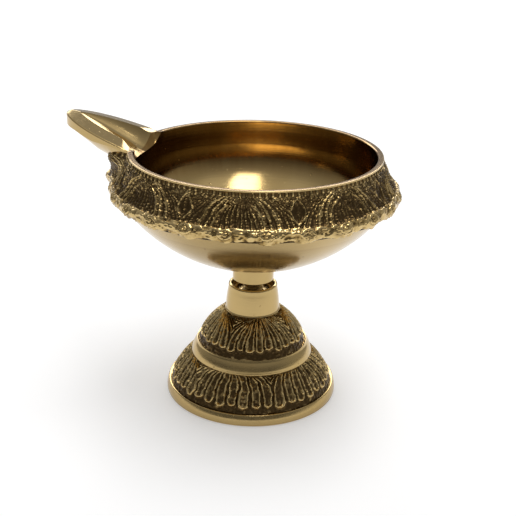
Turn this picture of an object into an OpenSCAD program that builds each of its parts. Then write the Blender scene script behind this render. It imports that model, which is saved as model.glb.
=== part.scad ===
// Diya oil lamp: a cast brass bowl with a wick spout, on a domed foot that it screws into.
// The origin is the centre of the foot's underside, +Z is up and the spout points along -X.

/* [Foot and stand] */
// Radius of the foot at its widest
foot_r = 25; // [23:0.5:27]
// Height of the plain rim around the foot
foot_rim_h = 3.4; // [3:0.1:4]
// Height of the lower petal tier's top edge
tier_z = 12.2; // [11.5:0.1:13]
// Height of the plain ring between the two petal tiers
ring_h = 3.9; // [3.4:0.1:4.4]
// Radius of the plain ring at its lower edge
ring_r = 17.4; // [16.8:0.1:18]
// Height of the collar's foot
collar_z = 25.6; // [25:0.1:26]
// Height of the collar's lip
lip_z = 33.4; // [33:0.1:34]
// Radius of the collar at its lip
collar_r = 6.95; // [6.8:0.05:7.4]
// Thickness of the stand's cast wall
stand_wall = 2.2; // [1.8:0.1:2.6]

/* [Screw] */
// Radius of the stud over its thread
stud_r = 3; // [2.5:0.1:3.2]
// Pitch of the stud's thread
pitch = 1; // [0.8:0.1:1.2]
// Radial clearance of every turned fit
fit_gap = 0.05; // [0.03:0.01:0.1]
// Depth of the socket that the bowl's stub enters when it is screwed home
socket_depth = 2.4; // [2:0.1:3]
// Height at which the stub's end stands above the lip
stub_lift = 1.2; // [1:0.1:1.6]

/* [Bowl] */
// Height of the bowl's rim
rim_z = 71.8; // [71:0.1:73]
// Outer radius of the rim
rim_r = 34.6; // [34:0.1:35.2]
// Thickness of the rim
rim_wall = 1.9; // [1.6:0.1:2.2]
// Radius of the bowl at its widest, over the row of rosettes
girth_r = 39.9; // [39.4:0.1:40.4]
// Height of the widest point
girth_z = 61.4; // [60.8:0.1:62]
// Radius of the round belly under the petal band
belly_r = 44.6; // [44.2:0.1:45]
// Thickness of the belly's wall
belly_wall = 2.3; // [2:0.1:2.6]
// Radius of the stub under the bowl
stub_r = 5.85; // [5.6:0.05:6]

/* [Spout] */
// Distance of the spout's tip from the axis
tip_x = 55; // [53:0.5:57]
// Half of the spout's width at the rim
spout_w = 11; // [10:0.5:12]
// Height of the spout's flange above the rim where they meet
spout_lift = 1.1; // [0.8:0.1:1.4]
// Rise of the spout's flange for each unit outwards
spout_rise = 0.3; // [0.26:0.01:0.34]
// Thickness of the metal at the tip
tip_t = 3.2; // [2.8:0.1:3.6]
// Half of the wick channel's width at the rim
channel_w = 7; // [6:0.5:8]
// Depth of the wick channel at the rim
channel_d = 4.1; // [3.8:0.1:4.4]
// Distance from the axis at which the channel runs out
channel_end = 51; // [49:0.5:52]

/* [Hidden] */
$fn = 96;

// Amount by which a cutter passes the face that it cuts
past = 1;
// Straight steps in each arc and each formula curve of an outline
steps = 14;

// Stand
ring_top = tier_z + ring_h;
ring_draft = 1.5;
foot_round = 0.8;
foot_seat = 3.4;
lip_round = 0.5;
tier_wall = 0.4;
neck_wall = 3.4;
hollow_top = collar_z - neck_wall;
socket_r = stub_r + 2 * fit_gap;
bore_r = stud_r + fit_gap;
socket_z = lip_z - socket_depth;

// Stud: how far it reaches down the stand, the metal left over it, and its thread
stud_low = 22;
stud_roof = 1.1;
stud_end_gap = 0.2;
stud_bevel = 0.6;
thread_depth = 0.35 * pitch;

// Bowl: the belly's centre, where the petal band starts, and the radii of the hollow
stub_z = lip_z + stub_lift;
stub_round = 0.5;
belly_c = 84.5;
belly_z = belly_c - belly_r;
stud_high = belly_z - stud_roof;
stud_hole_top = stud_high + stud_end_gap;
band_foot_r = 37.6;
band_step = 0.9;
shoulder_z = girth_z + 5;
shoulder_out = 2.4;
floor_r = 33.4;
hollow_r = 34.2;
hollow_z = girth_z + 3;
above = 12;

// Spout: where its plan starts inside the bowl, its keel, and the exponents of its plans
spout_root = 30;
spout_swell = 0.6;
spout_long = 2.1;
spout_blunt = 0.6;
keel_low = 2;
keel_r = girth_r + 2.4;
keel_w = 5;
tip_round = 0.5;
channel_root = rim_r - rim_wall - 2;
channel_long = 1.9;
channel_blunt = 0.8;
channel_mouth_r = rim_r - 1.5;

// A point of a profile after a bow of height b is laid on the straight line from p to q.
function bow(p, q, b, t) =
    let (d = q - p, n = [d[1], -d[0]] / norm(d))
    p + d * t + n * b * 4 * t * (1 - t);

// The bowed line from p to q without its last point.
function bowed(p, q, b) = [for (i = [0:steps - 1]) bow(p, q, b, i / steps)];

// Points on a circle about c, from angle a to angle b.
function arc(c, r, a, b) =
    [for (i = [0:steps]) let (t = a + (b - a) * i / steps) c + r * [cos(t), sin(t)]];

// Half of a leaf-shaped plan at distance s, from width w at start to nothing at finish.
function leaf(s, start, finish, w, p, q) =
    let (x = min(1, max(0, (s - start) / (finish - start))))
    w * pow(1 - pow(x, p), q);

// Both edges of a leaf-shaped plan that points along -X.
function leaf_plan(start, finish, w, p, q) =
    let (n = 2 * steps)
    concat(
        [for (i = [0:n]) let (s = start + (finish - start) * sin(90 * i / n))
            [-s, -leaf(s, start, finish, w, p, q)]],
        [for (i = [n - 1:-1:0]) let (s = start + (finish - start) * sin(90 * i / n))
            [-s, leaf(s, start, finish, w, p, q)]]);

// ---- Stand ----

// Outside of the stand from the foot to the lip.
function stand_outside() = concat(
    [[foot_r - foot_round, 0]],
    arc([foot_r - foot_round, foot_round], foot_round, -70, 30),
    [[foot_r - 0.7, foot_rim_h]],
    bowed([foot_r - 1.1, foot_rim_h + 0.2], [ring_r + 0.1, tier_z], 0.55),
    bowed([ring_r, tier_z], [ring_r - ring_draft, ring_top], -0.25),
    bowed([ring_r - ring_draft, ring_top], [collar_r + 1, collar_z], 1),
    bowed([collar_r + 1, collar_z], [collar_r, lip_z - lip_round - 0.1], -0.3),
    arc([collar_r - lip_round, lip_z - lip_round], lip_round, 0, 90));

// Hollow of the stand, one wall inside the outside.
module stand_hollow() {
    low = [ring_r - stand_wall - tier_wall, tier_z - 0.6];
    high = [ring_r - stand_wall - ring_draft - 0.5, ring_top - 1];
    top = [bore_r + 3, hollow_top];
    rotate_extrude()
        polygon(concat(
            [[0, -past], [foot_r - foot_seat, -past]],
            bowed([foot_r - foot_seat, 0], low, 0.7),
            bowed(low, high, 0),
            bowed(high, top, 0.9),
            [top, [0, hollow_top]]));
}

module stand() {
    color("darkgoldenrod")
    difference() {
        rotate_extrude()
            polygon(concat([[0, 0]], stand_outside(), [[0, lip_z]]));
        stand_hollow();
        translate([0, 0, hollow_top - past])
            cylinder(r = bore_r, h = lip_z);
        translate([0, 0, socket_z])
            cylinder(r = socket_r, h = lip_z);
    }
}

// ---- Stud ----

// Outline of the stud: a row of thread crests, each as long as the pitch.
function thread_crests(low, high) =
    [for (z = [low + pitch:pitch:high - pitch]) each [
        [stud_r, z], [stud_r, z + 0.3 * pitch],
        [stud_r - thread_depth, z + 0.55 * pitch], [stud_r - thread_depth, z + 0.75 * pitch]]];

module stud() {
    color("goldenrod")
    rotate_extrude()
        polygon(concat(
            [[0, stud_low], [stud_r - stud_bevel, stud_low], [stud_r, stud_low + stud_bevel]],
            thread_crests(stud_low, stud_high),
            [[stud_r - thread_depth, stud_high - stud_bevel / 2],
                [stud_r - stud_bevel, stud_high], [0, stud_high]]));
}

// ---- Bowl ----

// Height of the belly's outside at radius r.
function belly(r, wall = 0) = belly_c - sqrt(pow(belly_r - wall, 2) - r * r);

// The belly's curve from radius a to radius b.
function belly_arc(a, b, wall = 0) =
    [for (i = [0:steps]) let (r = a + (b - a) * i / steps) [r, belly(r, wall)]];

module bowl_outside() {
    rotate_extrude()
        polygon(concat(
            [[0, stub_z]],
            arc([stub_r - stub_round, stub_z + stub_round], stub_round, -90, 0),
            [[stub_r, belly(stub_r) - stub_round]],
            belly_arc(stub_r + stub_round, band_foot_r),
            [[band_foot_r + band_step, girth_z - 1.1]],
            bowed([girth_r - 0.6, girth_z - 0.7], [girth_r - 0.5, girth_z + 1.6], 0.55),
            bowed([girth_r - 0.5, girth_z + 1.6], [rim_r + shoulder_out, shoulder_z], -0.2),
            [[rim_r + shoulder_out, shoulder_z], [rim_r, rim_z - 0.5]],
            [[rim_r - 0.5, rim_z], [0, rim_z]]));
}

module bowl_hollow() {
    rotate_extrude()
        polygon(concat(
            belly_arc(0, floor_r, belly_wall),
            [[hollow_r, belly(floor_r, belly_wall) + 2.2], [hollow_r, hollow_z]],
            [[rim_r - rim_wall, rim_z], [rim_r - rim_wall, rim_z + above], [0, rim_z + above]]));
}

// Height of the spout's flange at distance s from the axis.
function flange(s) = rim_z + spout_lift + spout_rise * (s - rim_r);

// The spout's outer body is where its plan, its side view and its front view all agree.
module spout_body() {
    wide = 2 * spout_w + 4;
    shoulder = [-(tip_x - 6), flange(tip_x - 6) - tip_t - 1.6];
    intersection() {
        translate([0, 0, girth_z - above])
            linear_extrude(3 * above)
                polygon(leaf_plan(spout_root, tip_x, spout_w + spout_swell,
                    spout_long, spout_blunt));
        translate([0, wide / 2, 0])
            rotate([90, 0, 0])
                linear_extrude(wide)
                    polygon(concat(
                        [[-spout_root, flange(spout_root)], [-spout_root, girth_z - keel_low]],
                        [[-keel_r + 0.7, girth_z - keel_low]],
                        bowed([-keel_r, girth_z + keel_low], shoulder, 1),
                        [shoulder, [-tip_x + tip_round, flange(tip_x) - tip_t]],
                        [[-tip_x, flange(tip_x) - tip_t + tip_round], [-tip_x, flange(tip_x)]]));
        translate([-tip_x - past, 0, 0])
            rotate([90, 0, 90])
                linear_extrude(tip_x)
                    polygon([
                        [-keel_w, girth_z - keel_low - past], [keel_w, girth_z - keel_low - past],
                        [wide / 2, rim_z - 1], [wide / 2, rim_z + above],
                        [-wide / 2, rim_z + above], [-wide / 2, rim_z - 1]]);
    }
}

// The wick channel: a leaf-shaped trough whose floor climbs to meet the flange.
module channel() {
    wide = 2 * channel_w + 4;
    intersection() {
        translate([0, 0, rim_z - above])
            linear_extrude(3 * above)
                polygon(leaf_plan(channel_root, channel_end, channel_w + 0.4,
                    channel_long, channel_blunt));
        translate([0, wide / 2, 0])
            rotate([90, 0, 0])
                linear_extrude(wide)
                    polygon([
                        [-channel_root, rim_z - channel_d], [-channel_mouth_r, rim_z - channel_d],
                        [-channel_end, flange(channel_end) - 0.05],
                        [-channel_end, rim_z + above], [-channel_root, rim_z + above]]);
    }
}

module bowl() {
    color("goldenrod")
    difference() {
        union() {
            bowl_outside();
            spout_body();
        }
        bowl_hollow();
        channel();
        translate([0, 0, stub_z - past])
            cylinder(r = bore_r, h = stud_hole_top - stub_z + past);
    }
}

stand();
stud();
bowl();
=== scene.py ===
# %% [markdown]
# # A cast brass diya on a petal foot
#
# The lamp is three pieces of brass: a bowl with a beaked wick spout, a domed stand, and the
# threaded stud that joins them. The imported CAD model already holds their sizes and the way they
# screw together. This lesson makes what a caster, a turner and a polisher add to them: the relief
# cut into the mould, the crisp turned edges, the ground spout, and the dark patina left in the
# hollows when the high places are polished.

# %% Load the frame
import math

import bpy
import numpy as np
from mathutils import Matrix, Vector


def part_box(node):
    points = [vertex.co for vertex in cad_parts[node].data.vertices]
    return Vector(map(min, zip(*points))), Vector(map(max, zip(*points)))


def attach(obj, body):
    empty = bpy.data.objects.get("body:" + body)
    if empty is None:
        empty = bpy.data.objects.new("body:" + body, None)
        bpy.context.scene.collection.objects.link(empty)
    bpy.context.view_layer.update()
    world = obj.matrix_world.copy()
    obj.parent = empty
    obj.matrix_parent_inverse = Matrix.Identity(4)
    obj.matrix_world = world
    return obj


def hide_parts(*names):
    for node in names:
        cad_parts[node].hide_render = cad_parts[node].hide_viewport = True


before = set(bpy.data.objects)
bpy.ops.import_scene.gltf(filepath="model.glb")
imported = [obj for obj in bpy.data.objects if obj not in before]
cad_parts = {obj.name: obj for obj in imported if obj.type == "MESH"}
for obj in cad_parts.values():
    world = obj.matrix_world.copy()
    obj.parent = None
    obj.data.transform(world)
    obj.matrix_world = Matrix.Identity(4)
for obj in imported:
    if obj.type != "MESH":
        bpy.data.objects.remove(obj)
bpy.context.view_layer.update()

MM = 0.001

# %% [markdown]
# ## The sizes everything hangs on
#
# The foot, the lip, the rim and the spout's tip come from the boxes of the CAD nodes. The heights
# of the plain ring and the two petal tiers are the stand's own proportions, in millimetres above
# the table, and everything else below is worked out from these.

# %% Driving sizes
stand_high = np.array(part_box("stand")[1]) / MM
bowl_low, bowl_high = (np.array(c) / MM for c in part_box("bowl"))
stud_low, stud_high = (np.array(c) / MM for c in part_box("stud"))

FOOT_R = stand_high[0]
LIP_Z = stand_high[2]
GIRTH_R = bowl_high[0]
STUB_Z = bowl_low[2]
TIP_X = -bowl_low[0]
TIP_Z = bowl_high[2]
STUD_R = stud_high[0]

RIM_Z = 71.8
RIM_R = 34.6
RIM_WALL = 1.9
GIRTH_Z = 61.4
BELLY_R = 44.6
BELLY_Z = 84.5
BELLY_WALL = 2.3
STUB_R = 5.85
RIM_BAND_H = 3.4
TIER_Z = 12.2
RING_H = 3.9
RING_R = 17.4
COLLAR_Z = 25.6
COLLAR_R = 6.95
SOCKET_DEPTH = 2.4
FIT = 0.05
print("foot", FOOT_R, "lip", LIP_Z, "girth", GIRTH_R, "tip", TIP_X, TIP_Z)

# %% [markdown]
# ## Outlines for turned work
#
# Everything round on this lamp was shaped on a lathe, so its outline is all there is to draw. An
# outline here is a list of points (radius, height) in millimetres. Straight edges are given by
# their corners, a bowed edge is a straight one pushed out in the middle, and a corner that a
# turner has broken with a file gets a small fillet.

# %% Outline helpers
def bowed(p, q, bow, count=12):
    """Points from p to q, not q itself, pushed out by bow at the middle."""
    p, q = np.array(p, float), np.array(q, float)
    along = q - p
    side = np.array([along[1], -along[0]]) / np.hypot(*along)
    return [tuple(p + along * t + side * bow * 4 * t * (1 - t)) for t in np.arange(count) / count]


def filleted(corners, steps=4):
    """The outline through corners (r, z, fillet radius), with each corner rounded by its radius."""
    points = []
    for i, (r, z, fillet) in enumerate(corners):
        here = np.array([r, z], float)
        if fillet == 0 or i in (0, len(corners) - 1):
            points.append((r, z))
            continue
        before = np.array(corners[i - 1][:2], float) - here
        after = np.array(corners[i + 1][:2], float) - here
        start = here + before / np.hypot(*before) * fillet
        end = here + after / np.hypot(*after) * fillet
        for t in np.linspace(0, 1, steps + 1):
            points.append(tuple((1 - t) ** 2 * start + 2 * t * (1 - t) * here + t**2 * end))
    return points


def swept(start, pull, push, end, count):
    """Points on the curve from start to end that leaves towards pull and arrives from push."""
    start, pull, push, end = (np.array(p, float) for p in (start, pull, push, end))
    return [tuple((1 - t) ** 3 * start + 3 * t * (1 - t) ** 2 * pull
        + 3 * t * t * (1 - t) * push + t**3 * end) for t in np.linspace(0, 1, count)]


def resampled(points, spacing):
    """The same outline with a point about every spacing millimetres."""
    points = np.array(points, float)
    length = np.r_[0, np.cumsum(np.hypot(*np.diff(points, axis=0).T))]
    at = np.linspace(0, length[-1], int(length[-1] / spacing) + 1)
    return list(zip(np.interp(at, length, points[:, 0]), np.interp(at, length, points[:, 1])))


def inset(points, depth):
    """The outline moved inwards by depth, square to itself."""
    points = np.array(points, float)
    along = np.gradient(points, axis=0)
    side = np.c_[along[:, 1], -along[:, 0]] / np.hypot(along[:, 0], along[:, 1])[:, None]
    return [tuple(p) for p in points + side * depth]


print("a bowed edge has", len(bowed((0, 0), (1, 0), 0.1)), "points")

# %% [markdown]
# ## Handling a piece's points
#
# Blender's operators work on whatever is selected, so each step first chooses its own piece and
# nothing else. Where a shape is easier to say as a formula than to pull by hand, the points are
# read out in millimetres, moved, and laid back. A solid casting has no holes in its skin, so every
# piece is also counted for open edges.

# %% Choosing, measuring and placing points
def deselect():
    bpy.ops.object.select_all(action="DESELECT")


def choose(obj):
    """Selects one piece and nothing else, and makes it the active one."""
    deselect()
    obj.select_set(True)
    bpy.context.view_layer.objects.active = obj


def points_of(obj):
    """The piece's points in millimetres, one row each."""
    co = np.zeros(len(obj.data.vertices) * 3)
    obj.data.vertices.foreach_get("co", co)
    return co.reshape(-1, 3) / MM


def place_points(obj, points):
    obj.data.vertices.foreach_set("co", (points * MM).ravel())
    obj.data.update()


def open_edges(obj):
    """How many edges don't have exactly two faces, which is 0 on a closed piece."""
    uses = np.zeros(len(obj.data.edges), int)
    index = np.zeros(len(obj.data.loops), int)
    obj.data.loops.foreach_get("edge_index", index)
    np.add.at(uses, index, 1)
    return int((uses != 2).sum())


def report(obj):
    triangles = sum(len(p.vertices) - 2 for p in obj.data.polygons)
    print(f"{obj.name}: {triangles} triangles, {open_edges(obj)} open edges")

# %% [markdown]
# ## The lathe
#
# A turned piece could be a modifier on a curve, but a lathe in edit mode shows what happens: a
# plane is merged to a single point, the point is extruded along the outline, and the outline is
# spun round the axis. Spin slows down as the piece grows, so it makes one eighth of the round, and
# turned copies are added until the round is full. The rings then close on the axis, and on each
# other, when the doubled points are merged. Normals are worked out again last, because spin can
# leave them inward.

# %% Lathe
DOUBLED = 0.002 * MM


def tidy_normals(obj, merge=True):
    """Turns every face outwards, after merging doubled points where that is wanted."""
    choose(obj)
    bpy.ops.object.mode_set(mode="EDIT")
    bpy.ops.mesh.select_all(action="SELECT")
    if merge:
        bpy.ops.mesh.remove_doubles(threshold=DOUBLED)
    bpy.ops.mesh.normals_make_consistent(inside=False)
    bpy.ops.object.mode_set(mode="OBJECT")


def lathe(name, outline, steps):
    """A piece turned from an outline in millimetres, with steps faces round it."""
    deselect()
    bpy.ops.mesh.primitive_plane_add(size=MM)
    obj = bpy.context.object
    obj.name = name
    bpy.ops.object.mode_set(mode="EDIT")
    bpy.ops.mesh.merge(type="CENTER")
    r, z = outline[0]
    bpy.ops.transform.translate(value=(r * MM, 0, z * MM))
    for (r0, z0), (r1, z1) in zip(outline, outline[1:]):
        step = ((r1 - r0) * MM, 0, (z1 - z0) * MM)
        bpy.ops.mesh.extrude_region_move(TRANSFORM_OT_translate={"value": step})
    bpy.ops.mesh.select_all(action="SELECT")
    eighth = math.pi / 4
    bpy.ops.mesh.spin(steps=steps // 8, angle=eighth, center=(0, 0, 0), axis=(0, 0, 1))
    for share in (1, 2, 4):
        bpy.ops.mesh.select_all(action="SELECT")
        bpy.ops.mesh.duplicate()
        bpy.ops.transform.rotate(value=eighth * share, orient_axis="Z", center_override=(0, 0, 0))
    bpy.ops.object.mode_set(mode="OBJECT")
    tidy_normals(obj)
    return obj


def smooth(obj, angle=35):
    """Shades the piece smooth, but keeps edges sharper than the angle in degrees."""
    choose(obj)
    bpy.ops.object.shade_smooth_by_angle(angle=math.radians(angle))


print("points nearer than", DOUBLED / MM, "mm are merged")

# %% [markdown]
# ## Grain and wobble
#
# The mould was cut by hand and the metal poured into sand, so no ridge is quite straight and no
# hollow is quite smooth. Both come from one kind of noise: a seeded table of random heights laid
# round the piece like a net, with a smooth blend inside each mesh. Its last column meets its
# first, so the pattern has no seam.

# %% Seeded noise round a piece
def net(turn, down, columns, rows, seed):
    """Smooth noise from -1 to 1 at turn (0 to 1 round the piece) and down (0 to 1)."""
    table = np.random.default_rng(seed).uniform(-1, 1, (rows + 2, columns))
    x, y = np.mod(turn, 1) * columns, np.clip(down, 0, 1) * rows
    ix, iy = np.floor(x).astype(int) % columns, np.floor(y).astype(int)
    fx, fy = x - np.floor(x), y - iy
    fx, fy = fx * fx * (3 - 2 * fx), fy * fy * (3 - 2 * fy)
    right = (ix + 1) % columns
    top = table[iy, ix] * (1 - fx) + table[iy, right] * fx
    low = table[iy + 1, ix] * (1 - fx) + table[iy + 1, right] * fx
    return top * (1 - fy) + low * fy


def bump_line(distance, width):
    """A rounded ridge of height 1 where distance is 0."""
    return np.exp(-((distance / width) ** 2))


def beside_line(place, step, first):
    """How far a place is from its line, in a row of lines a step apart that starts at first."""
    return np.mod(place, step) - first


def ease(x, low, high):
    """0 below low, 1 above high, smooth between."""
    t = np.clip((x - low) / (high - low), 0, 1)
    return t * t * (3 - 2 * t)


print("halfway up, ease gives", ease(0.5, 0, 1))

# %% [markdown]
# ## Petal fans
#
# Both tiers of the stand carry the same figure: fans of long petals that hang from a point and
# spread as they fall, with little nested chevrons in the gaps between fans. A fan is easy to draw
# on a net that spreads the same way, so each point is first moved onto straightened petals. There
# a petal is only a U of two ridges, which is a distance from a line and, at the foot, from a
# point.

# %% The fan figure
# How far the cutter's hand wandered: slowly and quickly in shares of a turn, and in shares of the drop
HAND_SLOW, HAND_QUICK, HAND_DOWN = 0.0025, 0.0012, 0.02
# Widths in mm of the petals' ridges and the chevrons' ridges, and the step between chevrons
PETAL_RIDGE, CHEVRON_RIDGE, CHEVRON_STEP = 0.33, 0.27, 1.25
# Heights of the petals' hollows, of the plain ground under them, and of the chevrons
HOLLOW_PAD, GROUND, CHEVRON_TOP = 0.3, 0.22, 0.9


def fan_height(turn, down, size, fans, petals, gather, reach, foot, lead):
    """Height from 0 to 1 of a row of petal fans.

    size is the tier's (circumference, drop) in mm. gather is the fan's width at the top, as a
    share of its full width, and reach is how far down it is fully spread. foot is where the
    petals end, and lead turns the row."""
    around, drop = size
    turn = turn + HAND_SLOW * net(turn, down, 60, 6, 3) + HAND_QUICK * net(turn, down, 150, 12, 4)
    down = down + HAND_DOWN * net(turn, down, 50, 3, 5)
    half = around / fans / 2
    across = np.mod((turn - lead) * fans, 1) * 2 - 1
    spread = np.sqrt(1 - (1 - np.clip(down / reach, 0, 1)) ** 2)
    width = gather + (1 - gather) * spread
    inside = across / width
    pitch = half * width * 2 / petals
    petal = (inside + 1) / 2 * petals
    beside = np.abs(np.mod(petal, 1) - 0.5) * pitch
    stagger = 0.03 * np.cos(2.4 * np.floor(petal))
    below = np.clip(down - foot - stagger, 0, None) * drop
    wall = 0.31 * pitch
    edge = np.hypot(beside, below) - wall
    ridge = bump_line(edge, np.minimum(PETAL_RIDGE, 0.17 * pitch))
    pad = HOLLOW_PAD * ease(-edge, 0.1, 0.5)
    outside = (np.abs(across) - width) * half
    chevron = CHEVRON_TOP * bump_line(beside_line(outside, CHEVRON_STEP, 0.75), CHEVRON_RIDGE)
    between = ease(outside, -0.05, 0.1)
    ground = GROUND * ease(down, foot + 0.05, foot + 0.2)
    return (1 - between) * np.maximum(ridge, pad) + between * chevron + ground * (1 - ridge)


print("petal ridges", PETAL_RIDGE, "mm, chevrons every", CHEVRON_STEP, "mm")

# %% [markdown]
# ## The bowl's band
#
# The bowl's band is richer. Eight plumes stand round it, each a nest of arches that spring from one
# point under the rim and fall to both sides like a fountain. A few ridges are plain arches and the
# ones between are strings of beads. A slim almond fills the gap between two plumes, and a row
# of short ticks hangs from the rim. Under the plumes runs a row of twenty-four rosettes, each a
# ring with seeds in it on its own swelling, and the lowest edge is left ragged, as it came from
# the sand.

# %% The band's plan
# All depths are in mm below the rim, along the skin; leads are shares of one repeat
PLUMES, ROSETTES = 8, 24
PLUME_LEAD, ROSETTE_LEAD = 0.088, 0.30
PLUME_FOOT = 8.6
ROSETTE_Y, ROSETTE_RING = 10.6, 1.55
RAGGED_Y = 12.9
# Where each nest of arches starts, the step between its strings, and its plain arches
INNER_APEX, INNER_STEP, INNER_ARCH = 2.1, 1.26, 6.4
OUTER_APEX, OUTER_STEP, OUTER_ARCH, MIDDLE_ARCH = 0.3, 1.35, 10.2, 7.9
ALMOND_W, TICK_STEP, BEAD_STEP = 1.9, 1.75, 0.78


def arches(side, y, apex, foot):
    """Which of a nest of half ellipses from apex down to foot runs through a point, and its slope."""
    fall = np.clip((y - apex) / (foot - apex), 0, 1)
    spread = np.sqrt(1 - (1 - fall) ** 2)
    return side / np.maximum(spread, 0.05), np.maximum(spread, 0.3)


def rosette_place(turn, around):
    """How far a point is from the middle of the nearest rosette, along the row."""
    return (np.mod(turn * ROSETTES - ROSETTE_LEAD + 0.5, 1) - 0.5) * around / ROSETTES


print(PLUMES, "plumes over", ROSETTES, "rosettes, ragged from", RAGGED_Y, "mm below the rim")

# %% [markdown]
# ### Plumes, ledge and edge
#
# The band is put together from three parts, as its carver would have set it out: the plumes above,
# the ledge of rosettes below them, and the ragged end where the sand let the relief fade. Each part
# is a height from 0 to 1, so they can be blended by how far down the point is.

# %% The band's figure
def plume_height(side, y, half, beads):
    """Two nests of arches, side mm from the middle of a plume, and the almond at its edge."""
    nest, slope = arches(side, y, INNER_APEX, PLUME_FOOT + 0.8)
    inner = bump_line(beside_line(nest, INNER_STEP, 0.63) * slope, 0.25) * (0.35 + 0.55 * beads)
    inner = np.maximum(inner, bump_line((nest - INNER_ARCH) * slope, 0.34))
    wide, slope = arches(side, y, OUTER_APEX, PLUME_FOOT + 1.6)
    outer = bump_line(beside_line(wide + 0.5, OUTER_STEP, 0.68) * slope, 0.27) * (0.3 + 0.6 * beads)
    outer = np.maximum(outer, bump_line((wide - OUTER_ARCH) * slope, 0.36))
    outer = np.maximum(outer, bump_line((wide - MIDDLE_ARCH) * slope, 0.28))
    plume = np.where(nest < INNER_ARCH + 0.5, inner, outer)
    almond = ALMOND_W * np.sin(math.pi * np.clip((y - 1.6) / (PLUME_FOOT - 1.8), 0, 1))
    beside = half - side
    spine = 0.8 * bump_line(beside, 0.24) * beads
    return np.where(beside < almond + 0.3, np.maximum(bump_line(beside - almond, 0.28), spine), plume)


def ledge_height(turn, down, y, along):
    """The rosettes, along mm from the middle of the nearest, and the lumpy ground round them."""
    out = np.hypot(along, (y - ROSETTE_Y) * 1.15)
    seeds = bump_line(beside_line(out + 0.4 * net(turn, down, 300, 16, 18), 0.7, 0.35), 0.22)
    rosette = np.where(out < 1.25, 0.75 * seeds, bump_line(out - ROSETTE_RING, 0.30))
    lumps = 0.52 + 0.42 * net(turn, down, 170, 14, 16)
    ledge = np.where(out < ROSETTE_RING + 0.45, rosette, lumps)
    return ledge * (0.8 + 0.2 * net(turn, down, 24, 2, 15)) + 0.30


def band_height(turn, down, size):
    """Height from 0 to 1 of the band's figure; size is its (circumference, drop) in mm."""
    around, drop = size
    wobble = 0.0013 * net(turn, down, 90, 5, 11) + 0.0007 * net(turn, down, 260, 12, 12)
    y = down * drop + 0.30 * net(turn, down, 70, 4, 13)
    half = around / PLUMES / 2
    side = np.abs(np.mod((turn + wobble - PLUME_LEAD) * PLUMES, 1) * 2 - 1) * half
    beads = 0.5 + 0.5 * np.cos(2 * math.pi * (y / BEAD_STEP + 1.5 * net(turn, down, 200, 6, 14)))
    ticks = bump_line(beside_line(turn * around, TICK_STEP, 0.88), 0.42) * (1 - ease(y, 0.9, 1.4))
    figure = np.maximum(plume_height(side, y, half, beads) * ease(y, 0.6, 1.4), ticks)
    figure = figure * (0.78 + 0.22 * net(turn, down, 60, 5, 17))
    along = rosette_place(turn + wobble, around)
    low = ease(y, PLUME_FOOT, PLUME_FOOT + 0.5)
    height = (1 - low) * figure + low * ledge_height(turn, down, y, along)
    ragged = RAGGED_Y + 0.45 * np.cos(2 * math.pi * along * ROSETTES / around)
    ragged = ragged + 0.35 * net(turn, 0 * down, 110, 1, 19)
    return height * (1 - ease(y, ragged, ragged + 0.35))


print("the plumes end", PLUME_FOOT, "mm down and the rosettes' middles lie", ROSETTE_Y, "mm down")

# %% [markdown]
# ## Cutting a figure into a turned piece
#
# A displace modifier would need the figure as a picture. Here the figure is a formula, so the
# points are moved in code, as a chaser's punch would: each point of the outer skin sinks, square
# to the outline, by the relief's depth where the figure is low, and stays where it is high. The
# height is also kept on the mesh as an attribute, because the patina later gathers in the same
# hollows.

# %% Relief helper
def carve(obj, outline, depth, figure, grain, bulge=None):
    """Sinks the points of obj that lie on outline by depth where figure is low.

    grain is the size in mm of the sand's grains, and bulge(heading, z) swells the whole ring."""
    profile = np.array(outline, float)
    along = np.gradient(profile, axis=0)
    normal = np.c_[-along[:, 1], along[:, 0]] / np.hypot(along[:, 0], along[:, 1])[:, None]
    length = np.r_[0, np.cumsum(np.hypot(*np.diff(profile, axis=0).T))]
    co = points_of(obj)
    radius = np.hypot(co[:, 0], co[:, 1])
    heading = np.arctan2(co[:, 1], co[:, 0])
    turn = heading / (2 * math.pi) % 1
    gap = np.hypot(radius[:, None] - profile[:, 0], co[:, 2][:, None] - profile[:, 1])
    row = gap.argmin(axis=1)
    skin = gap.min(axis=1) < 0.01
    down = length[row] / length[-1]
    around = 2 * math.pi * profile[:, 0].mean()
    shape = figure(turn, down, (around, length[-1]))
    fine = net(turn, down, int(around / grain), int(length[-1] / grain), 21)
    coarse = net(turn, down, int(around / grain / 3), int(length[-1] / grain / 3) + 1, 22)
    rough = ease(shape, 0, 0.05) * (0.14 * fine + 0.08 * coarse) + 0.07 * (1 + fine)
    height = np.clip(shape + rough, 0, 1)
    sink = np.where(skin, depth * (1 - height), 0)
    swell = 0 if bulge is None else bulge(heading, co[:, 2])
    outwards = swell - normal[row, 0] * sink
    co += np.c_[outwards * np.cos(heading), outwards * np.sin(heading), -normal[row, 1] * sink]
    place_points(obj, co)
    level = obj.data.attributes.new("relief", "FLOAT", "POINT")
    level.data.foreach_set("value", np.where(skin, height, 0).astype(np.float32))
    print(f"{obj.name}: relief from {sink.min():.2f} to {sink.max():.2f} mm deep")

# %% [markdown]
# ## The stand
#
# The stand is turned first as one plain casting, hollow under its dome, with a socket and a bore
# down the collar. The two tiers are sunk a little where the petals go. Each tier of petals is its
# own closed ring, because it needs a far finer net of faces than the plain metal does.

# %% Stand outlines
FOOT_EDGE = (FOOT_R - 1.1, RIM_BAND_H + 0.2)
low_tier = bowed(FOOT_EDGE, (RING_R + 0.1, TIER_Z), 0.55) + [(RING_R + 0.1, TIER_Z)]
high_tier = bowed((RING_R - 1.5, TIER_Z + RING_H), (COLLAR_R + 1, COLLAR_Z), 1.0)
high_tier = high_tier + [(COLLAR_R + 1, COLLAR_Z)]
SUNK = 0.75
RELIEF = 0.72

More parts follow.
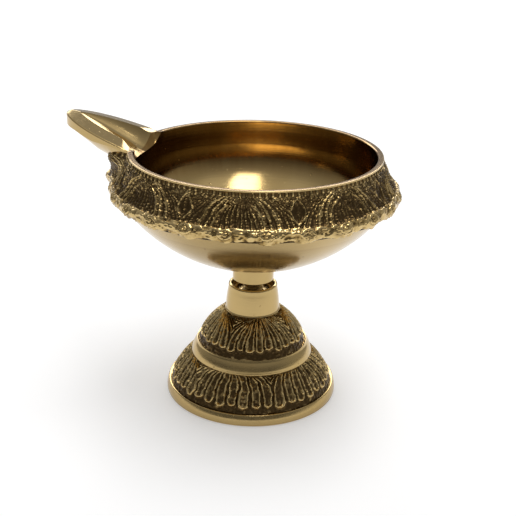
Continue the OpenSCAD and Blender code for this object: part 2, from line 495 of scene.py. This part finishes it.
bore_r = STUD_R + FIT
socket_r = STUB_R + 2 * FIT
hollow_top = COLLAR_Z - 3.4

stand_outline = (
    filleted([
        (bore_r, hollow_top, 0), (bore_r, LIP_Z - SOCKET_DEPTH, 0.1),
        (socket_r - 0.1, LIP_Z - SOCKET_DEPTH, 0.2), (socket_r, LIP_Z - 0.5, 0.2),
        (socket_r + 0.35, LIP_Z, 0.2), (COLLAR_R, LIP_Z, 0.6), (COLLAR_R + 0.05, LIP_Z - 1.2, 0),
    ])
    + bowed((COLLAR_R + 0.05, LIP_Z - 1.2), (COLLAR_R + 0.75, COLLAR_Z + 0.35), -0.12)
    + filleted([
        (COLLAR_R + 0.75, COLLAR_Z + 0.35, 0), (COLLAR_R + 1.05, COLLAR_Z, 0.25),
        (COLLAR_R + 0.3, COLLAR_Z - 0.25, 0),
    ])
    + inset(high_tier, -SUNK)[::-1][1:-1]
    + filleted([
        (RING_R - 2.0, TIER_Z + RING_H - 0.25, 0), (RING_R - 1.45, TIER_Z + RING_H + 0.1, 0.25),
        (RING_R - 1.3, TIER_Z + RING_H - 0.6, 0),
    ])
    + bowed((RING_R - 1.3, TIER_Z + RING_H - 0.6), (RING_R + 0.05, TIER_Z + 0.5), -0.2)
    + filleted([
        (RING_R + 0.05, TIER_Z + 0.5, 0), (RING_R + 0.2, TIER_Z + 0.05, 0.3),
        (RING_R - 0.4, TIER_Z - 0.3, 0),
    ])
    + inset(low_tier, -SUNK)[::-1][1:-1]
    + filleted([
        (FOOT_R - 1.9, RIM_BAND_H - 0.2, 0), (FOOT_R - 0.75, RIM_BAND_H + 0.15, 0.35),
        (FOOT_R, 1.4, 1.0), (FOOT_R - 0.25, 0.25, 0.5), (FOOT_R - 0.9, 0, 0.3),
        (FOOT_R - 3.4, 0, 0.3), (FOOT_R - 3.6, 0.6, 0),
    ])
    + bowed((FOOT_R - 3.6, 0.6), (RING_R - 2.6, TIER_Z - 0.6), 0.7)
    + bowed((RING_R - 2.6, TIER_Z - 0.6), (RING_R - 4.2, TIER_Z + RING_H - 1), 0)
    + bowed((RING_R - 4.2, TIER_Z + RING_H - 1), (bore_r + 3, hollow_top), 0.9)
    + filleted([(bore_r + 3, hollow_top, 0), (bore_r, hollow_top, 0)])
)
print("stand outline has", len(stand_outline), "points")

# %% [markdown]
# ### The stand and its petals
#
# The real stand is one casting. Here the plain turned part and each tier of petals are made one
# after the other: the outline goes on the lathe, and a tier is a thin closed ring with a very fine
# skin, which the figure is then cut into.

# %% Turn the stand
stand = lathe("stand_casting", stand_outline, 160)
smooth(stand)
report(stand)


def tier(name, skin, steps, spacing, figure):
    """A closed ring whose outer skin carries a figure, with points about spacing mm apart."""
    skin = resampled(skin, spacing)
    back = resampled(inset(skin, SUNK + 0.5), 2)
    ring = lathe(name, skin + back[::-1] + skin[:1], steps)
    carve(ring, skin, RELIEF, figure, grain=0.5)
    smooth(ring, 80)
    report(ring)
    return ring


def low_fans(turn, down, size):
    return fan_height(turn, down, size, 5, 8, gather=0.70, reach=0.55, foot=0.74, lead=0.640)


def high_fans(turn, down, size):
    return fan_height(turn, down, size, 4, 8, gather=0.12, reach=0.75, foot=0.74, lead=0.708)


lower_petals = tier("lower_petals", low_tier[::-1], 760, 0.17, low_fans)
upper_petals = tier("upper_petals", high_tier[::-1], 560, 0.16, high_fans)

# %% [markdown]
# ## The spout
#
# The spout is a beak: a leaf-shaped flange, ground flat, round a channel for the wick, over a
# keel that runs down into the bowl. Its shape is said first, as widths and heights along the
# spout: s is how far out from the lamp's axis a point is, and t how far to the side, both in mm.

# %% The flange and the channel
SPOUT_W = 11.0
SPOUT_RISE = 0.3
BEAK_START = 30.0
FLANGE_Z = RIM_Z + 0.68
CHANNEL_W = 7.0
CHANNEL_D = 4.1
CHANNEL_END = 51.0
TIP_T = 3.2


def leaf(s, start, end, width, p, q):
    """Half of a leaf's width at s: widest at start, a point at end; p and q shape its sides."""
    x = np.clip((s - start) / (end - start), 0, 1)
    return width * (1 - x**p) ** q


def flange_edge(s):
    """Height of the flange's outer edge."""
    return FLANGE_Z + SPOUT_RISE * (s - RIM_R)


def channel_half(s):
    """Half of the channel's width at its edge, opening out where it meets the bowl."""
    flare = 3.2 * np.exp(-np.clip(s - RIM_R + 2.2, 0, None) / 1.3)
    return leaf(s, RIM_R - RIM_WALL - 2, CHANNEL_END, CHANNEL_W, 1.9, 0.8) + flare


def spout_half(s):
    """Half of the flange's width, with a blunt end at the tip."""
    return np.maximum(leaf(s, BEAK_START, TIP_X, SPOUT_W + 0.6, 2.1, 0.6), 0.3)


def spout_top(s, t):
    """The flange slopes up from its outer edge to the channel, and runs out level over the rim."""
    half = spout_half(s)
    rise = 0.17 * (half - np.minimum(np.maximum(np.abs(t), channel_half(s)), half))
    edge = 0.3 * ease(np.abs(t) - half + 0.45, 0, 0.45) ** 2
    tip = 0.5 * ease(s, TIP_X - 1.6, TIP_X) ** 2
    full = flange_edge(s) + rise - edge - tip
    blend = ease(np.hypot(s, t), RIM_R - 1.2, RIM_R + 2.2)
    return RIM_Z + 0.04 + (full - RIM_Z) * blend


def channel_floor(s):
    """The floor climbs evenly from inside the rim to the channel's end."""
    t = np.clip((s - RIM_R + 1.5) / (CHANNEL_END - RIM_R + 1.5), -0.3, 1)
    low = RIM_Z - CHANNEL_D
    return low + (flange_edge(CHANNEL_END) + 0.8 - low) * t


print("the flange's edge is", round(flange_edge(TIP_X), 1), "mm up at the tip, of", round(TIP_Z, 1))

# %% [markdown]
# ### The keel
#
# The keel is the beak's underside, a blunt edge that starts under the tip and deepens until it
# meets the band. Its line is drawn as points along the middle, and towards the flange's edge it
# rises in a curve, so that the beak is thick in the middle and thin at the sides.

# %% The keel
def spout_low(s, t):
    """The keel: from the tip's blunt end it sweeps in and down to the bowl's girth."""
    path = np.array([
        (BEAK_START, GIRTH_Z - 1), (38.0, GIRTH_Z + 1.5), (38.4, 64.0), (39.4, 65.6), (41.4, 66.9),
        (43.6, 67.9), (45.4, 69.2), (47.1, 70.5), (49.4, 72.0), (51.5, 73.1), (53.6, 74.1),
        (TIP_X, flange_edge(TIP_X) - TIP_T),
    ])
    keel = np.interp(s, path[:, 0], path[:, 1])
    share = np.clip(np.abs(t) / spout_half(s), 0, 1)
    edge = flange_edge(s) - np.interp(s, [37.5, 41, 44, 50, TIP_X], [0.9, 1.6, 2.2, 2.3, TIP_T])
    return np.minimum(keel + (edge - keel) * share**1.7, edge)


print("the keel is", round(float(flange_edge(TIP_X) - spout_low(TIP_X, 0)), 1), "mm deep at the tip")

# %% [markdown]
# ### A slab laid on a shape
#
# A flat grid is extruded into a slab, and its points are then laid on the beak: every point keeps
# its place along and across, and takes its height from the flange above or the keel below. The
# same slab, laid on the channel's floor, becomes the cutter that opens the channel.

# %% The beak
def slab(name, rows, columns, start, end, half, top, low):
    """A grid extruded to a slab and laid between the heights top(s, t) and low(s, t).

    The grid runs from -1 to 1 both ways, and its lines are drawn together at the tip and edges."""
    deselect()
    bpy.ops.mesh.primitive_grid_add(x_subdivisions=rows, y_subdivisions=columns, size=2)
    obj = bpy.context.object
    obj.name = name
    bpy.ops.object.mode_set(mode="EDIT")
    bpy.ops.mesh.extrude_region_move(TRANSFORM_OT_translate={"value": (0, 0, -1)})
    bpy.ops.object.mode_set(mode="OBJECT")
    grid = points_of(obj) * MM
    along = np.sin(math.pi / 4 * (grid[:, 0] + 1))
    s = start + (end - start) * along
    across = np.sin(math.pi / 2 * grid[:, 1])
    t = across * half(s)
    z = np.where(grid[:, 2] > -0.5, top(s, t), low(s, t))
    place_points(obj, np.c_[-s, t, z])
    tidy_normals(obj, merge=False)
    return obj


beak = slab("beak", 150, 90, BEAK_START, TIP_X, spout_half, spout_top, spout_low)
report(beak)

# %% [markdown]
# ### The channel
#
# The wick lies in a trough that opens out through the rim. Its floor is rounded at the sides, so
# the cutter is a slab whose underside is a steep curve across, and it reaches well above the
# spout and a little past the channel's edges, to leave a clean edge when it is cut away.

# %% Channel cutter
CUTTER_START = 27.0
CUTTER_H = 14


def cutter_half(s):
    """Half of the cutter's width, a little more than the channel's."""
    return channel_half(s) * 1.06 + 0.5


def cutter_top(s, t):
    """The same height all the way across, well clear of the flange."""
    return flange_edge(s) + CUTTER_H + 0 * t


def cutter_low(s, t):
    """The channel's floor, rounded up to the flange at the channel's edges."""
    half = np.maximum(channel_half(s), 0.05)
    edge = spout_top(s, half)
    depth = np.maximum(edge - channel_floor(s), 0)
    return channel_floor(s) + depth * np.minimum(np.abs(t) / half, 1.2) ** 4


channel = slab("channel_cutter", 130, 80, CUTTER_START, CHANNEL_END,
    cutter_half, cutter_top, cutter_low)
report(channel)

# %% [markdown]
# ## The bowl
#
# The bowl is turned like the stand: a round belly of even wall, a straight rim, and under it the
# short stub with the blind hole for the stud. Inside, the round floor runs up into the straight
# wall in one smooth sweep, as a cast hollow does, so that nothing is left behind when it is wiped.
# The band's skin is sunk to take the relief ring.

# %% Bowl outline
def belly(r, wall=0.0):
    """Height of the round belly at radius r, or of the floor inside it, a wall further in."""
    return BELLY_Z - math.sqrt((BELLY_R - wall) ** 2 - r * r)


BAND_FOOT_R = 37.6
INSIDE_R = 27.0
HOLLOW_R = 34.0
band = (
    [(RIM_R - 0.05, RIM_Z - 0.35), (RIM_R + 1.2, RIM_Z - 3)]
    + bowed((RIM_R + 2.2, GIRTH_Z + 5), (GIRTH_R - 0.5, GIRTH_Z + 1.6), 0.2)
    + bowed((GIRTH_R - 0.5, GIRTH_Z + 1.6), (GIRTH_R - 0.3, GIRTH_Z - 0.9), -0.4)
    + [(GIRTH_R - 0.3, GIRTH_Z - 0.9), (GIRTH_R - 0.65, GIRTH_Z - 1.8)]
    + [(GIRTH_R - 1.5, GIRTH_Z - 2.2)]
)
hole_top = stud_high[2] + 0.2
inside = [(r, belly(r, BELLY_WALL)) for r in np.linspace(0, INSIDE_R, 40)[:-1]]
inside += swept((INSIDE_R, belly(INSIDE_R, BELLY_WALL)), (30.9, 55.2), (HOLLOW_R, 57.5),
    (HOLLOW_R, GIRTH_Z + 3), 24)
bowl_outline = (
    inside[:-1]
    + filleted([
        inside[-1] + (0,), (HOLLOW_R - 0.1, GIRTH_Z + 4.5, 1.4),
        (RIM_R - RIM_WALL + 0.15, RIM_Z, 0.6), (RIM_R, RIM_Z, 0.15), (RIM_R, RIM_Z - 0.35, 0),
    ], 6)
    + [(RIM_R - 0.5, RIM_Z - 0.6)]
    + inset(band, SUNK)[2:-2]
    + [(r, belly(r)) for r in np.linspace(BAND_FOOT_R, STUB_R + 0.5, 56)]
    + filleted([
        (STUB_R, belly(STUB_R), 0), (STUB_R, STUB_Z, 0.45), (bore_r + 0.4, STUB_Z, 0.2),
        (bore_r, STUB_Z + 0.5, 0.2), (bore_r, hole_top, 0), (0, hole_top, 0),
    ])
)
print("bowl outline has", len(bowl_outline), "points")

# %% [markdown]
# ### One casting
#
# The spout and bowl are one casting, so the beak is joined to the turned bowl and the channel cut
# out with boolean modifiers. The beak is first trimmed by the bowl's own hollow, so that no part
# of it stands inside. The doubled points are left alone afterwards, because merging across the thin
# new faces would open the skin.

# %% Turn the bowl, join the beak and cut the channel
bowl = lathe("bowl_casting", bowl_outline, 220)
report(bowl)


def combine(obj, other, operation):
    """Joins other to obj, or cuts it away, and removes it."""
    choose(obj)
    step = obj.modifiers.new(operation.lower(), "BOOLEAN")
    step.object = other
    step.operation = operation
    step.solver = "MANIFOLD"
    bpy.ops.object.modifier_apply(modifier=step.name)
    bpy.data.objects.remove(other)


hollow_r = RIM_R - RIM_WALL - 0.1
hollow_lid = RIM_Z + 12
hollow = lathe("hollow_cutter",
    inside + [(hollow_r, RIM_Z - 0.2), (hollow_r, hollow_lid), (0, hollow_lid)], 220)
combine(beak, hollow, "DIFFERENCE")
combine(bowl, beak, "UNION")
combine(bowl, channel, "DIFFERENCE")
tidy_normals(bowl, merge=False)
smooth(bowl, 30)
report(bowl)

# %% [markdown]
# ### The relief band
#
# The band is a ring of its own with the finest net of all. It swells out a little at each rosette,
# and much more under the beak, where the casting runs out into the keel. Where the channel passes
# through the rim, the band's points are tucked under the channel's floor.

# %% Carve the band
def beneath_beak(heading, z):
    """How far the band swells out to run into the keel of the beak."""
    off = np.abs(np.mod(heading, 2 * math.pi) - math.pi)
    heights = [57, 58, 60, 62, 64, 66, 68, 70, 72]
    out = np.interp(z, heights, [0.2, 1.0, 2.3, 2.7, 2.9, 3.8, 5.2, 5.4, 4.4])
    inner = np.interp(z, [60, 70], [0.04, 0.18])
    return out * (1 - ease(off, inner, inner + 0.22))


def swellings(heading, z):
    """The rosettes' own swellings, and the band's run into the keel."""
    along = rosette_place(heading / (2 * math.pi), 2 * math.pi * GIRTH_R)
    lobe = 0.5 * (bump_line(along, 3.0) - 0.5) * bump_line(z - GIRTH_Z - 0.2, 1.6)
    return lobe + beneath_beak(heading, z)


band_skin = resampled(band, 0.16)
band_back = resampled(inset(band_skin, SUNK + 0.45), 2)
petal_band = lathe("petal_band", band_skin + band_back[::-1] + band_skin[:1], 960)
carve(petal_band, band_skin, RELIEF, band_height, grain=0.45, bulge=swellings)
co = points_of(petal_band)
out, across = -co[:, 0], co[:, 1]
under = (out > RIM_R - 3) & (np.abs(across) < cutter_half(out) + 0.3)
co[:, 2] = np.where(under, np.minimum(co[:, 2], cutter_low(out, across) - 0.4), co[:, 2])
place_points(petal_band, co)
smooth(petal_band, 80)
report(petal_band)

# %% [markdown]
# ## The stud
#
# The stud's thread is a helix. It is turned as a plain rod with many rings, and each point is then
# drawn in or out by how far it is, along and round, from the thread's crest.

# %% Turn and cut the stud
PITCH = 1.0
THREAD = 0.55 * PITCH
BEVEL = 0.6
rod = filleted([
    (0, stud_low[2], 0), (STUD_R - BEVEL, stud_low[2], 0.1), (STUD_R, stud_low[2] + BEVEL, 0.2),
    (STUD_R, stud_high[2] - BEVEL, 0.2), (STUD_R - BEVEL, stud_high[2], 0.1), (0, stud_high[2], 0),
])
stud = lathe("threaded_stud", resampled(rod, 0.12), 72)
co = points_of(stud)
radius = np.hypot(co[:, 0], co[:, 1])
phase = co[:, 2] / PITCH - np.arctan2(co[:, 1], co[:, 0]) / (2 * math.pi)
groove = THREAD * np.abs(np.mod(phase, 1) - 0.5) * 2
cut = np.where(radius > STUD_R - BEVEL - 0.02, 1 - groove / STUD_R, 1)
co[:, :2] *= cut[:, None]
place_points(stud, co)
smooth(stud, 60)
report(stud)

# %% [markdown]
# ## Shader maths
#
# A finish is a small sum over the surface: how deep the hollow is, how far out from the axis, how
# worn. Wrapping a socket in a class with the usual operators lets that sum be written as a sum,
# and each operator adds the Math node it stands for.

# %% Wires
class Wire:
    """An output socket that can be added to, scaled and so on."""

    def __init__(self, graph, socket):
        self.graph, self.socket = graph, socket

    def maths(self, operation, a, b=None):
        sockets = {0: a} if b is None else {0: a, 1: b}
        return self.graph.add("ShaderNodeMath", {"operation": operation}, sockets)

    def __add__(self, other):
        return self.maths("ADD", self, other)

    def __radd__(self, other):
        return self.maths("ADD", other, self)

    def __sub__(self, other):
        return self.maths("SUBTRACT", self, other)

    def __rsub__(self, other):
        return self.maths("SUBTRACT", other, self)

    def __mul__(self, other):
        return self.maths("MULTIPLY", self, other)

    def __rmul__(self, other):
        return self.maths("MULTIPLY", other, self)

    def __pow__(self, other):
        return self.maths("POWER", self, other)

    def __rpow__(self, other):
        return self.maths("POWER", other, self)


print("a wire can be part of a sum with numbers on either side")

# %% [markdown]
# ### Graphs
#
# The nodes themselves live in a tree. One method adds a node of any type, sets it up, and gives
# its sockets numbers or wires, and a few short ones stand for the nodes that are used again and
# again.

# %% Graphs
class Graph:
    """A node tree, with one method that adds any node from its type, settings and sockets."""

    def __init__(self, tree):
        self.tree = tree

    def add(self, kind, settings=None, sockets=None, out=0):
        node = self.tree.nodes.new(kind)
        for name, value in (settings or {}).items():
            setattr(node, name, value)
        for name, value in (sockets or {}).items():
            if isinstance(value, Wire):
                self.tree.links.new(value.socket, node.inputs[name])
            else:
                node.inputs[name].default_value = value
        return Wire(self, node.outputs[out])

    def between(self, value, low, high):
        """0 where value is below low, 1 above high."""
        return self.add("ShaderNodeMapRange", {"interpolation_type": "SMOOTHSTEP"},
            {"Value": value, "From Min": low, "From Max": high})

    def noise(self, place, scale, detail=2.0, roughness=0.5):
        return self.add("ShaderNodeTexNoise", {},
            {"Vector": place, "Scale": scale, "Detail": detail, "Roughness": roughness})

    def bump(self, height, strength, distance):
        return self.add("ShaderNodeBump", {},
            {"Strength": strength, "Distance": distance, "Height": height})

    def blend(self, share, a, b):
        """Colour a where share is 0, colour b where it is 1."""
        colour = [(*c, 1) if isinstance(c, tuple) else c for c in (a, b)]
        return self.add("ShaderNodeMix", {"data_type": "RGBA"},
            {"Factor": share, 6: colour[0], 7: colour[1]}, out=2)


print("a graph adds any node, and has short ways to add noise, a mask, a bump and a blend")

# %% [markdown]
# ## Brass
#
# Polished brass is all reflection: a pale gold that is a little browner where fingers have left a
# film, and grooved so finely by the lathe that highlights draw out across the grooves. Inside the
# bowl a band of the wall is painted darker, with vertical streaks: painted shade. The relief is the
# same metal under a black-brown patina, which the polishing wheel has taken off the high ridges
# only, and the highest crests are painted a paler gold, a painted highlight.

# %% Brass colours and helpers
BRASS = (0.50, 0.36, 0.155)
WARM_BRASS = (0.42, 0.28, 0.095)
FILM = (0.26, 0.165, 0.06)
CREST_HIGHLIGHT = (0.64, 0.47, 0.21)
INNER_WALL_SHADE = (0.28, 0.16, 0.05)
PATINA = (0.090, 0.056, 0.022)
# The painted shade on the inner wall starts low, is full higher up, and stops at the wall's own radius,
# in metres
WALL_SHADE_LOW, WALL_SHADE_FULL, WALL_SHADE_R = 0.054, 0.061, 0.0345


def new_material(name):
    """A metal with nothing set yet, its graph, and the shader's node."""
    material = bpy.data.materials.new(name)
    material.use_nodes = True
    tree = material.node_tree
    tree.nodes.clear()
    graph = Graph(tree)
    shader = graph.add("ShaderNodeBsdfPrincipled", {}, {"Metallic": 1.0})
    output = tree.nodes.new("ShaderNodeOutputMaterial")
    tree.links.new(shader.socket, output.inputs["Surface"])
    return material, graph, shader.socket.node


def feed(graph, node, **inputs):
    """Sets a number or colour on the node's own socket, and links a wire to it."""
    for name, value in inputs.items():
        socket = node.inputs[name.replace("_", " ")]
        if isinstance(value, Wire):
            graph.tree.links.new(value.socket, socket)
        else:
            socket.default_value = value


def lathe_place(graph, stretch):
    """Object coordinates, the same wound up round the axis in mm, and height and radius in m."""
    place = graph.add("ShaderNodeTexCoord", {}, {}, out=3)
    x = graph.add("ShaderNodeSeparateXYZ", {}, {0: place}, out=0)
    parts = x.socket.node
    y, z = Wire(graph, parts.outputs[1]), Wire(graph, parts.outputs[2])
    radius = (x * x + y * y) ** 0.5
    wound = graph.add("ShaderNodeCombineXYZ", {},
        {0: radius * 1000, 1: z * 1000, 2: (x + y) * (1000 * stretch)})
    return place, wound, z, radius


print("brass is", BRASS, "and the patina", PATINA)

# %% [markdown]
# ### Turned brass
#
# A turned surface has rings, so its fine lines are noise drawn out round the axis. A film, a few
# pits and the lines each add to the roughness, and the lines, the pits and a soft waviness are
# the bumps. The grooves that are too fine to draw are left to the shader's own anisotropy.

# %% Turned brass
def turned_brass(name, roughness=0.12, film=0.35, grooves=0.5, shade_inner_wall=False):
    """Brass from the lathe, with as much film and groove as asked, and painted shade on the inner wall.
    """
    material, graph, shader = new_material(name)
    place, wound, z, radius = lathe_place(graph, stretch=0.004)
    cloud = graph.noise(place, 55, 3)
    line = graph.noise(wound, 2.2, 4, 0.7)
    pits = graph.noise(place, 900, 2, 0.6)
    tarnish = graph.between(cloud, 0.42, 0.75) * film
    colour = graph.blend(tarnish, BRASS, WARM_BRASS)
    pit = graph.between(pits, 0.70, 0.78)
    colour = graph.blend(pit * 0.6, colour, FILM)
    # Painted shade: a band of the bowl's inner wall is darkened, with vertical streaks in it.
    if shade_inner_wall:
        flat = graph.add("ShaderNodeVectorMath", {"operation": "MULTIPLY"}, {0: place, 1: (1, 1, 0.02)})
        outwards = graph.add("ShaderNodeVectorMath", {"operation": "NORMALIZE"}, {0: flat})
        streak = graph.noise(outwards, 16, 3, 0.6)
        wall = graph.between(z, WALL_SHADE_LOW, WALL_SHADE_FULL) * graph.between(WALL_SHADE_R - radius, 0.0, 0.0002)
        colour = graph.blend(wall * (0.55 + streak * 0.7), colour, INNER_WALL_SHADE)
    rough = roughness + graph.between(line, 0.3, 0.8) * 0.10 + tarnish * 0.12 + pit * 0.2
    height = line * 0.6 - pit * 0.8 + graph.noise(place, 260, 3) * 0.4
    normal = graph.bump(height, grooves, 0.00004)
    feed(graph, shader, Base_Color=colour, Roughness=rough, Normal=normal)
    feed(graph, shader, Anisotropic=0.7, Anisotropic_Rotation=0.25)
    return material


polished = turned_brass("turned_brass")
bowl_finish_with_shade = turned_brass("brass_with_wall_shade", roughness=0.10, grooves=0.8, shade_inner_wall=True)
dull = turned_brass("thread_brass", roughness=0.32, film=0.8)
print("nodes:", [(m.name, len(m.node_tree.nodes)) for m in (polished, bowl_finish_with_shade, dull)])

# %% [markdown]
# ### Relief brass
#
# The relief attribute says how high a point was left, and noise of three sizes stands for the
# sand's grain, crumbs of old polish and uneven wear. Their sum says how much the wheel has worn the
# patina away, and so how bright and how smooth the metal is there. Where the relief is highest the
# colour is also painted a paler gold, a painted highlight on the crests.

# %% Relief brass
def relief_brass(name):
    """Brass worn bare where the relief is high, with a painted highlight on the highest crests, and
    dark with patina where it is low.
    """
    material, graph, shader = new_material(name)
    place = graph.add("ShaderNodeTexCoord", {}, {}, out=3)
    level = graph.add("ShaderNodeAttribute", {"attribute_name": "relief"}, {}, out=2)
    grain = graph.noise(place, 1500, 3, 0.65)
    crumbs = graph.noise(place, 700, 2, 0.6)
    blotch = graph.noise(place, 120, 2)
    shine = level + (grain - 0.5) * 0.25 + (crumbs - 0.5) * 0.3 + (blotch - 0.5) * 0.2
    worn = graph.between(shine, 0.34, 0.72)
    metal = graph.blend(graph.between(blotch, 0.3, 0.7), WARM_BRASS, BRASS)
    # Painted highlight: the highest crests are painted a paler gold than the brass.
    colour = graph.blend(worn, PATINA, graph.blend(graph.between(level, 0.6, 1.0), metal, CREST_HIGHLIGHT))
    rough = 0.34 - worn * 0.20
    height = grain * 0.5 + crumbs
    normal = graph.bump(height, 0.4, 0.0002)
    feed(graph, shader, Base_Color=colour, Roughness=rough, Normal=normal)
    return material


patinated = relief_brass("petal_brass")
print("nodes:", patinated.name, len(patinated.node_tree.nodes))

# %% [markdown]
# ### Which piece wears which
#
# The stand is plain turned brass, the bowl the same with deeper grooves and painted shade on its
# inner wall, and the stud, which nobody polishes, is rougher and more filmed. The three relief rings
# share one finish.

# %% Finishes
for piece, finish in ((stand, polished), (bowl, bowl_finish_with_shade), (stud, dull), (lower_petals, patinated),
        (upper_petals, patinated), (petal_band, patinated)):
    piece.data.materials.clear()
    piece.data.materials.append(finish)
print("finishes:", [m.name for m in (polished, bowl_finish_with_shade, patinated, dull)])

# %% [markdown]
# ## Joining the pieces to the frame
#
# Each piece rides on the CAD body that carries it and stands for its CAD node, which is hidden.

# %% Ride
for piece, body, node, slot in (
        (stand, "stand", "stand", "stand_brass"), (lower_petals, "stand", "stand", "stand_brass"),
        (upper_petals, "stand", "stand", "stand_brass"), (stud, "stud", "stud", "stud_brass"),
        (bowl, "bowl", "bowl", "bowl_brass"), (petal_band, "bowl", "bowl", "bowl_brass")):
    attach(piece, body)
    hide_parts(node)
    print(piece.name, "rides on", body)

# %% [markdown]
# ## The studio
#
# Brass shows the room more than itself, so the room is most of the picture. It starts with a pale
# floor: a plane large enough to fill the view, that glows a little so that it stays nearly white
# under soft light.

# %% Floor
deselect()
bpy.ops.mesh.primitive_plane_add(size=8)
floor = bpy.context.object
floor.name = "floor"
floor_paint, graph, shader = new_material("pale_floor")
feed(graph, shader, Base_Color=(0.70, 0.70, 0.70, 1), Roughness=0.9, Metallic=0.0)
feed(graph, shader, Emission_Color=(1, 1, 1, 1), Emission_Strength=0.36)
floor.data.materials.append(floor_paint)
print("floor", round(floor.dimensions.x, 1), "m across")

# %% [markdown]
# ### The room's walls and ceiling
#
# Shiny metal needs something to mirror on every side, so the sky stands for the room. It is dark
# on the camera's side, which gives the belly its dark reflection, pale behind the lamp, and
# brightest right overhead, where the bowl's floor looks.

# %% Sky
world = bpy.data.worlds.new("studio")
bpy.context.scene.world = world
world.use_nodes = True
world.node_tree.nodes.clear()
sky = Graph(world.node_tree)
direction = sky.add("ShaderNodeTexCoord", {}, {}, out=0)
depth = sky.add("ShaderNodeSeparateXYZ", {}, {0: direction}, out=1)
behind = sky.between(depth, -0.75, 0.55)
height = Wire(sky, depth.socket.node.outputs[2])
up = sky.between(height, 0.0, 1.0)
zenith = sky.between(height, 0.72, 0.97)
dim = sky.blend(up, (0.10, 0.10, 0.10), (0.40, 0.40, 0.41))
bright = sky.blend(zenith, (0.42, 0.42, 0.42), (0.95, 0.95, 0.97))
tone = sky.blend(behind, dim, bright)
light = sky.add("ShaderNodeBackground", {}, {"Color": tone, "Strength": 1.0})
sky_out = world.node_tree.nodes.new("ShaderNodeOutputWorld")
world.node_tree.links.new(light.socket, sky_out.inputs["Surface"])
print("sky nodes:", len(world.node_tree.nodes))

# %% [markdown]
# ### The camera
#
# The camera looks down on the lamp from a little to one side, close enough that the rim's ellipse
# is fuller than the foot's. Its place is worked out from the direction it looks from, a distance
# and the point it aims at, so each can be changed alone.

# %% Camera
VIEW_AZIMUTH, VIEW_TILT, VIEW_ROLL = (math.radians(a) for a in (14.5, 23.94, 1.4))
VIEW_DISTANCE = 0.2879
AIM_HEIGHT = 0.030
AIM_SIDE = 0.0015
LENS = 69.8
SHIFT = 0.067
SENSOR_W = 36
NEAREST = 0.01

back = Vector((math.sin(VIEW_AZIMUTH) * math.cos(VIEW_TILT),
    -math.cos(VIEW_AZIMUTH) * math.cos(VIEW_TILT), math.sin(VIEW_TILT)))
right = Vector((math.cos(VIEW_AZIMUTH), math.sin(VIEW_AZIMUTH), 0))
upward = back.cross(right)
deselect()
bpy.ops.object.camera_add()
camera = bpy.context.object
camera.name = "camera"
camera.data.lens = LENS
camera.data.sensor_width = SENSOR_W
camera.data.shift_y = SHIFT
camera.data.clip_start = NEAREST
facing = Matrix((right, upward, back)).transposed().to_4x4() @ Matrix.Rotation(VIEW_ROLL, 4, "Z")
aim = Vector((0, 0, AIM_HEIGHT)) + right * AIM_SIDE
camera.matrix_world = Matrix.Translation(aim + back * VIEW_DISTANCE) @ facing
bpy.context.scene.camera = camera
print("camera at", [round(c, 3) for c in camera.matrix_world.translation])

# %% [markdown]
# ### The lights
#
# Two soft lights are enough: a wide window behind the lamp, which the bowl's floor and the
# channel mirror, and a long strip almost overhead that runs from the back to the front, which
# lights the relief without a hard patch in the bowl.

# %% Lights
LIGHTS_AIM = 0.05


def soft_box(name, azimuth, elevation, distance, width, height, power):
    """A rectangle of light that faces the lamp, placed as seen from it; azimuth 0 is the camera's."""
    heading = VIEW_AZIMUTH + math.radians(azimuth)
    rise = math.radians(elevation)
    away = Vector((math.sin(heading) * math.cos(rise), -math.cos(heading) * math.cos(rise),
        math.sin(rise)))
    deselect()
    bpy.ops.object.light_add(type="AREA")
    lamp = bpy.context.object
    lamp.name = name
    lamp.data.shape = "RECTANGLE"
    lamp.data.size = width
    lamp.data.size_y = height
    lamp.data.energy = power
    lamp.matrix_world = (Matrix.Translation(Vector((0, 0, LIGHTS_AIM)) + away * distance)
        @ away.to_track_quat("Z", "Y").to_matrix().to_4x4())


soft_box("window", 183, 28, 1.2, 1.6, 0.30, 6)
soft_box("strip", 90, 84, 1.2, 1.12, 0.36, 6.5)

bpy.context.scene.view_settings.view_transform = "Standard"
